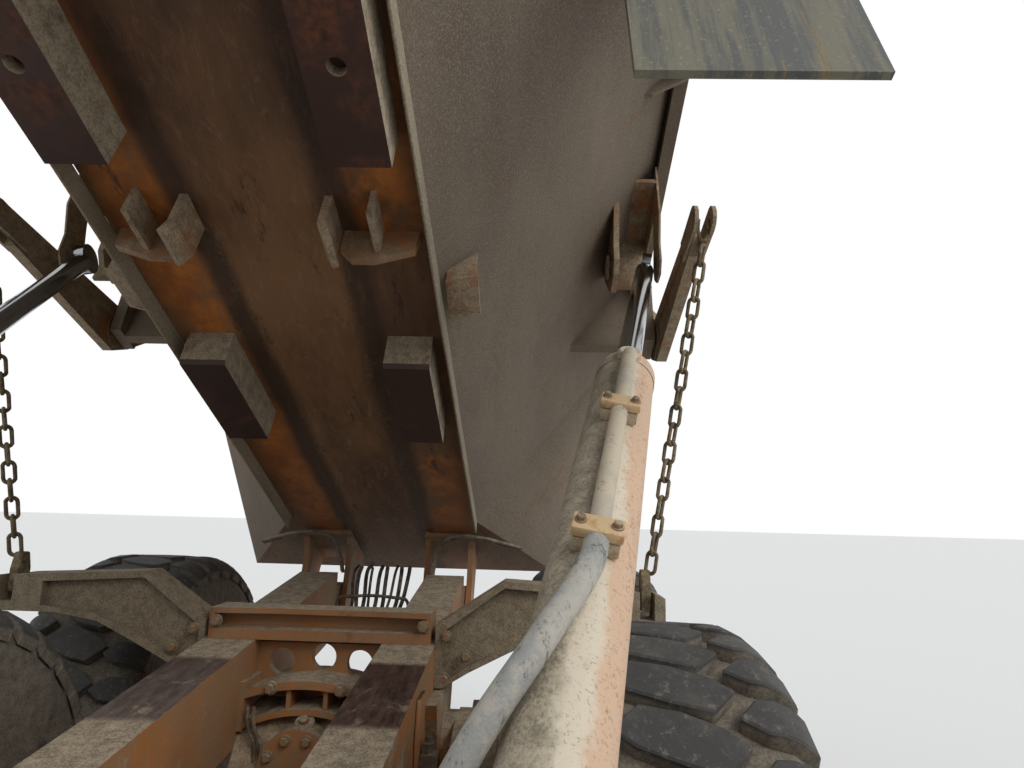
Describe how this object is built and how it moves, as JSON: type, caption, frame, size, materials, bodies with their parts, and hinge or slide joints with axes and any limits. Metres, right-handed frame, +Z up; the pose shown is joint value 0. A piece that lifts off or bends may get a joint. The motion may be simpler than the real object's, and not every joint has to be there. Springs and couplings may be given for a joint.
{
  "type": "six-wheel articulated dump truck",
  "caption": "Articulated dump truck: rear chassis with bogie and tipping bed, roll and steering hitch, tractor unit with cab and engine hood.",
  "frame": {"origin": "on the ground, at the middle of the whole truck's outer box, bed parked partly raised", "axes": "+X forward, towards the cab and bumper; +Y to the machine's left; +Z up"},
  "size_m": [10.9795, 2.99, 4.8267],
  "materials": {
    "paint": "worn orange-yellow paint with dried mud",
    "bed_paint": "paint under dried grey-beige mud, rust at edges",
    "worn_steel": "brown oxidised steel, rubbed on its contact faces",
    "barrel_paint": "chalky cream-grey paint, pink rust bloom",
    "rod_chrome": "polished hard chrome",
    "chain_steel": "forged links, dusty",
    "rubber": "grey with dried mud",
    "black_steel": "black satin paint",
    "glass": "tinted",
    "lamp_glass": "clear ribbed lens",
    "trim_plastic": "moulded black",
    "rim_paint": "painted steel, dusty",
    "tyre_rubber": "deep-lug rubber, dusty"
  },
  "bodies": {
    "rear_frame": {"rear_frame": "paint", "crossbar": "paint", "chain_arms": "bed_paint", "bogie_bracket": "paint", "bogie_beams": "paint", "mid_axle": "paint", "rear_axle": "paint", "drive_shafts": "worn_steel"},
    "bed": {"bed_floor": "bed_paint", "bed_walls": "bed_paint", "bed_rails": "bed_paint", "bed_runners": "worn_steel", "guide_brackets": "bed_paint", "hinge_arms": "paint", "hoist_brackets": "bed_paint", "gate_brackets": "bed_paint", "mud_flaps": "rubber"},
    "tailgate": {"tailgate": "bed_paint", "gate_arms": "paint"},
    "chain_left": {"chain_left": "chain_steel"},
    "chain_right": {"chain_right": "chain_steel"},
    "hoist_barrel_left": {"hoist_barrel_left": "barrel_paint"},
    "hoist_barrel_right": {"hoist_barrel_right": "barrel_paint"},
    "hoist_rod_left": {"hoist_rod_left": "rod_chrome"},
    "hoist_rod_right": {"hoist_rod_right": "rod_chrome"},
    "hitch": {"hitch": "paint"},
    "steer_barrel_left": {"steer_barrel_left": "barrel_paint"},
    "steer_barrel_right": {"steer_barrel_right": "barrel_paint"},
    "steer_rod_left": {"steer_rod_left": "rod_chrome"},
    "steer_rod_right": {"steer_rod_right": "rod_chrome"},
    "tractor": {"front_frame": "paint", "front_axle": "paint", "engine": "black_steel", "cab_posts": "paint", "cab_body": "paint", "cab_sides": "paint", "cab_glass": "glass", "cab_interior": "trim_plastic", "fenders": "paint", "steps": "black_steel", "bumper": "black_steel", "mirrors": "trim_plastic", "tanks": "black_steel", "exhaust": "black_steel"},
    "hood": {"hood": "paint", "grille": "black_steel", "headlamps": "lamp_glass"},
    "cab_door": {"cab_door": "paint"},
    "wheel_front_left": {"rim_front_left": "rim_paint", "tyre_front_left": "tyre_rubber"},
    "wheel_front_right": {"rim_front_right": "rim_paint", "tyre_front_right": "tyre_rubber"},
    "wheel_mid_left": {"rim_mid_left": "rim_paint", "tyre_mid_left": "tyre_rubber"},
    "wheel_mid_right": {"rim_mid_right": "rim_paint", "tyre_mid_right": "tyre_rubber"},
    "wheel_rear_left": {"rim_rear_left": "rim_paint", "tyre_rear_left": "tyre_rubber"},
    "wheel_rear_right": {"rim_rear_right": "rim_paint", "tyre_rear_right": "tyre_rubber"}
  },
  "joints": [
    {"name": "frame_roll", "type": "hinge", "parent": "rear_frame", "child": "hitch", "pos_m": [1.073, 0, 0.88], "axis": [1, 0, 0], "range_deg": [-20, 20]},
    {"name": "steering", "type": "hinge", "parent": "hitch", "child": "tractor", "pos_m": [1.573, 0, 0.88], "axis": [0, 0, 1], "range_deg": [-45, 45]},
    {"name": "wheel_front_left", "type": "hinge", "parent": "tractor", "child": "wheel_front_left", "pos_m": [2.783, 1.108, 0.805], "axis": [0, 1, 0], "continuous": true},
    {"name": "wheel_front_right", "type": "hinge", "parent": "tractor", "child": "wheel_front_right", "pos_m": [2.783, -1.108, 0.805], "axis": [0, 1, 0], "continuous": true},
    {"name": "wheel_mid_left", "type": "hinge", "parent": "rear_frame", "child": "wheel_mid_left", "pos_m": [-1.39, 1.108, 0.805], "axis": [0, 1, 0], "continuous": true},
    {"name": "wheel_mid_right", "type": "hinge", "parent": "rear_frame", "child": "wheel_mid_right", "pos_m": [-1.39, -1.108, 0.805], "axis": [0, 1, 0], "continuous": true},
    {"name": "wheel_rear_left", "type": "hinge", "parent": "rear_frame", "child": "wheel_rear_left", "pos_m": [-3.06, 1.108, 0.805], "axis": [0, 1, 0], "continuous": true},
    {"name": "wheel_rear_right", "type": "hinge", "parent": "rear_frame", "child": "wheel_rear_right", "pos_m": [-3.06, -1.108, 0.805], "axis": [0, 1, 0], "continuous": true},
    {"name": "bed_tilt", "type": "hinge", "parent": "rear_frame", "child": "bed", "pos_m": [-3.419, 0, 1.348], "axis": [0, -1, 0], "range_deg": [-32.8, 37.2]},
    {"name": "gate_swing", "type": "hinge", "parent": "bed", "child": "tailgate", "pos_m": [-2.94513, 0, 2.76981], "axis": [0, 1, 0], "range_deg": [-44.38, 50.32]},
    {"name": "chain_swing_left", "type": "hinge", "parent": "rear_frame", "child": "chain_left", "pos_m": [-2.225, 1.242, 1.558], "axis": [0, -1, 0], "range_deg": [-29.95, 33.95]},
    {"name": "hoist_swing_left", "type": "hinge", "parent": "rear_frame", "child": "hoist_barrel_left", "pos_m": [0.633, 0.581, 0.747], "axis": [0.5358, -0.24, 0.8095], "range_deg": [-3.73, 4.23]},
    {"name": "hoist_stroke_left", "type": "slide", "parent": "hoist_barrel_left", "child": "hoist_rod_left", "axis": [-0.7942, 0.1823, 0.5797], "range_m": [-1.0392, 1.1783]},
    {"name": "chain_swing_right", "type": "hinge", "parent": "rear_frame", "child": "chain_right", "pos_m": [-2.225, -1.242, 1.558], "axis": [0, -1, 0], "range_deg": [-29.95, 33.95]},
    {"name": "hoist_swing_right", "type": "hinge", "parent": "rear_frame", "child": "hoist_barrel_right", "pos_m": [0.633, -0.581, 0.747], "axis": [-0.5358, -0.24, -0.8095], "range_deg": [-3.73, 4.23]},
    {"name": "hoist_stroke_right", "type": "slide", "parent": "hoist_barrel_right", "child": "hoist_rod_right", "axis": [-0.7942, -0.1823, 0.5797], "range_m": [-1.0392, 1.1783]},
    {"name": "steer_swing_left", "type": "hinge", "parent": "hitch", "child": "steer_barrel_left", "pos_m": [1.461, 0.262, 0.88], "axis": [0, 0, 1], "range_deg": [-42, 42]},
    {"name": "steer_stroke_left", "type": "slide", "parent": "steer_barrel_left", "child": "steer_rod_left", "axis": [0.9834, 0.1815, 0], "range_m": [-0.1905, 0.1905]},
    {"name": "steer_swing_right", "type": "hinge", "parent": "hitch", "child": "steer_barrel_right", "pos_m": [1.461, -0.262, 0.88], "axis": [0, 0, 1], "range_deg": [-42, 42]},
    {"name": "steer_stroke_right", "type": "slide", "parent": "steer_barrel_right", "child": "steer_rod_right", "axis": [0.9834, -0.1815, 0], "range_m": [-0.1905, 0.1905]},
    {"name": "cab_door_hinge", "type": "hinge", "parent": "tractor", "child": "cab_door", "pos_m": [2.593, 0.802, 2.4], "axis": [0, 0, 1], "range_deg": [0, 75]},
    {"name": "hood_hinge", "type": "hinge", "parent": "tractor", "child": "hood", "pos_m": [5.263, 0, 1.12], "axis": [0, 1, 0], "range_deg": [0, 55]}
  ],
  "couplings": [
    {"joint": "gate_swing", "follows": "bed_tilt", "ratio": 1.35},
    {"joint": "chain_swing_left", "follows": "bed_tilt", "ratio": 0.91},
    {"joint": "hoist_swing_left", "follows": "bed_tilt", "ratio": 0.11234},
    {"joint": "hoist_stroke_left", "follows": "bed_tilt", "m_per_rad": 1.8118},
    {"joint": "chain_swing_right", "follows": "bed_tilt", "ratio": 0.91},
    {"joint": "hoist_swing_right", "follows": "bed_tilt", "ratio": 0.11234},
    {"joint": "hoist_stroke_right", "follows": "bed_tilt", "m_per_rad": 1.8118},
    {"joint": "steer_swing_left", "follows": "steering", "ratio": 0.93},
    {"joint": "steer_stroke_left", "follows": "steering", "m_per_rad": -0.24},
    {"joint": "steer_swing_right", "follows": "steering", "ratio": 0.93},
    {"joint": "steer_stroke_right", "follows": "steering", "m_per_rad": 0.24}
  ]
}
